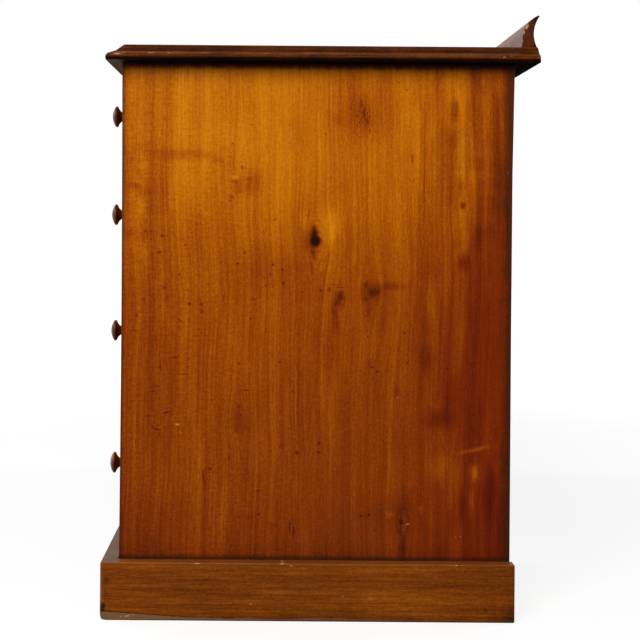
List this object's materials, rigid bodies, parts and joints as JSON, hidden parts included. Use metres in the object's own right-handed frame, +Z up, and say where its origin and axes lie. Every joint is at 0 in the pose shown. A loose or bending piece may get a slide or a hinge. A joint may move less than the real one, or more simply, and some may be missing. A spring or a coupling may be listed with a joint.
{
  "type": "writing desk",
  "caption": "Kneehole writing desk with pedestals of graduated drawers, a wide middle drawer, a moulded top with a low curved gallery at the back, turned knobs and a plinth.",
  "frame": {"origin": "on the floor, under the middle of the desk's bounding box", "axes": "+Z up, -Y out of the drawer fronts towards the sitter, +X to the sitter's right, along the desk's length"},
  "size_m": [1.219, 0.5856, 0.8054],
  "materials": {
    "polished_walnut": "golden to red-brown walnut, french polished to a soft gloss",
    "dark_top": "dark red-brown walnut, french polished, worn edges",
    "plinth_walnut": "mid-brown walnut, polished, scuffed at the floor",
    "turned_knobs": "very dark turned wood, glossy",
    "drawer_lining": "plain planed wood, unpolished",
    "secondary_pine": "plain planed pine, aged, unpolished"
  },
  "bodies": {
    "carcase": {"top_board": "dark_top", "gallery_rail": "dark_top", "kneehole_panel": "polished_walnut", "centre_rails": "polished_walnut", "centre_runners": "secondary_pine", "drawer_stops": "secondary_pine", "end_panel_right": "polished_walnut", "inner_panel_right": "polished_walnut", "plinth_front_right": "plinth_walnut", "plinth_outer_right": "plinth_walnut", "plinth_inner_right": "plinth_walnut", "floor_board_right": "secondary_pine", "back_board_right": "secondary_pine", "drawer_rails_right": "polished_walnut", "drawer_runners_right": "secondary_pine", "end_panel_left": "polished_walnut", "inner_panel_left": "polished_walnut", "plinth_front_left": "plinth_walnut", "plinth_outer_left": "plinth_walnut", "plinth_inner_left": "plinth_walnut", "floor_board_left": "secondary_pine", "back_board_left": "secondary_pine", "drawer_rails_left": "polished_walnut", "drawer_runners_left": "secondary_pine"},
    "drawer_right_1": {"front_right_1": "polished_walnut", "box_right_1": "drawer_lining", "bottom_right_1": "drawer_lining", "knob_right_1": "turned_knobs"},
    "drawer_right_2": {"front_right_2": "polished_walnut", "box_right_2": "drawer_lining", "bottom_right_2": "drawer_lining", "knob_right_2": "turned_knobs"},
    "drawer_right_3": {"front_right_3": "polished_walnut", "box_right_3": "drawer_lining", "bottom_right_3": "drawer_lining", "knob_right_3": "turned_knobs"},
    "drawer_right_4": {"front_right_4": "polished_walnut", "box_right_4": "drawer_lining", "bottom_right_4": "drawer_lining", "knob_right_4": "turned_knobs"},
    "drawer_left_1": {"front_left_1": "polished_walnut", "box_left_1": "drawer_lining", "bottom_left_1": "drawer_lining", "knob_left_1": "turned_knobs"},
    "drawer_left_2": {"front_left_2": "polished_walnut", "box_left_2": "drawer_lining", "bottom_left_2": "drawer_lining", "knob_left_2": "turned_knobs"},
    "drawer_left_3": {"front_left_3": "polished_walnut", "box_left_3": "drawer_lining", "bottom_left_3": "drawer_lining", "knob_left_3": "turned_knobs"},
    "drawer_left_4": {"front_left_4": "polished_walnut", "box_left_4": "drawer_lining", "bottom_left_4": "drawer_lining", "knob_left_4": "turned_knobs"},
    "drawer_centre": {"front_centre": "polished_walnut", "box_centre": "drawer_lining", "bottom_centre": "drawer_lining", "knobs_centre": "turned_knobs"}
  },
  "joints": [
    {"name": "drawer_right_1_slide", "type": "slide", "parent": "carcase", "child": "drawer_right_1", "axis": [0, -1, 0], "range_m": [0, 0.36]},
    {"name": "drawer_right_2_slide", "type": "slide", "parent": "carcase", "child": "drawer_right_2", "axis": [0, -1, 0], "range_m": [0, 0.36]},
    {"name": "drawer_right_3_slide", "type": "slide", "parent": "carcase", "child": "drawer_right_3", "axis": [0, -1, 0], "range_m": [0, 0.36]},
    {"name": "drawer_right_4_slide", "type": "slide", "parent": "carcase", "child": "drawer_right_4", "axis": [0, -1, 0], "range_m": [0, 0.36]},
    {"name": "drawer_left_1_slide", "type": "slide", "parent": "carcase", "child": "drawer_left_1", "axis": [0, -1, 0], "range_m": [0, 0.36]},
    {"name": "drawer_left_2_slide", "type": "slide", "parent": "carcase", "child": "drawer_left_2", "axis": [0, -1, 0], "range_m": [0, 0.36]},
    {"name": "drawer_left_3_slide", "type": "slide", "parent": "carcase", "child": "drawer_left_3", "axis": [0, -1, 0], "range_m": [0, 0.36]},
    {"name": "drawer_left_4_slide", "type": "slide", "parent": "carcase", "child": "drawer_left_4", "axis": [0, -1, 0], "range_m": [0, 0.36]},
    {"name": "drawer_centre_slide", "type": "slide", "parent": "carcase", "child": "drawer_centre", "axis": [0, -1, 0], "range_m": [0, 0.36]}
  ]
}
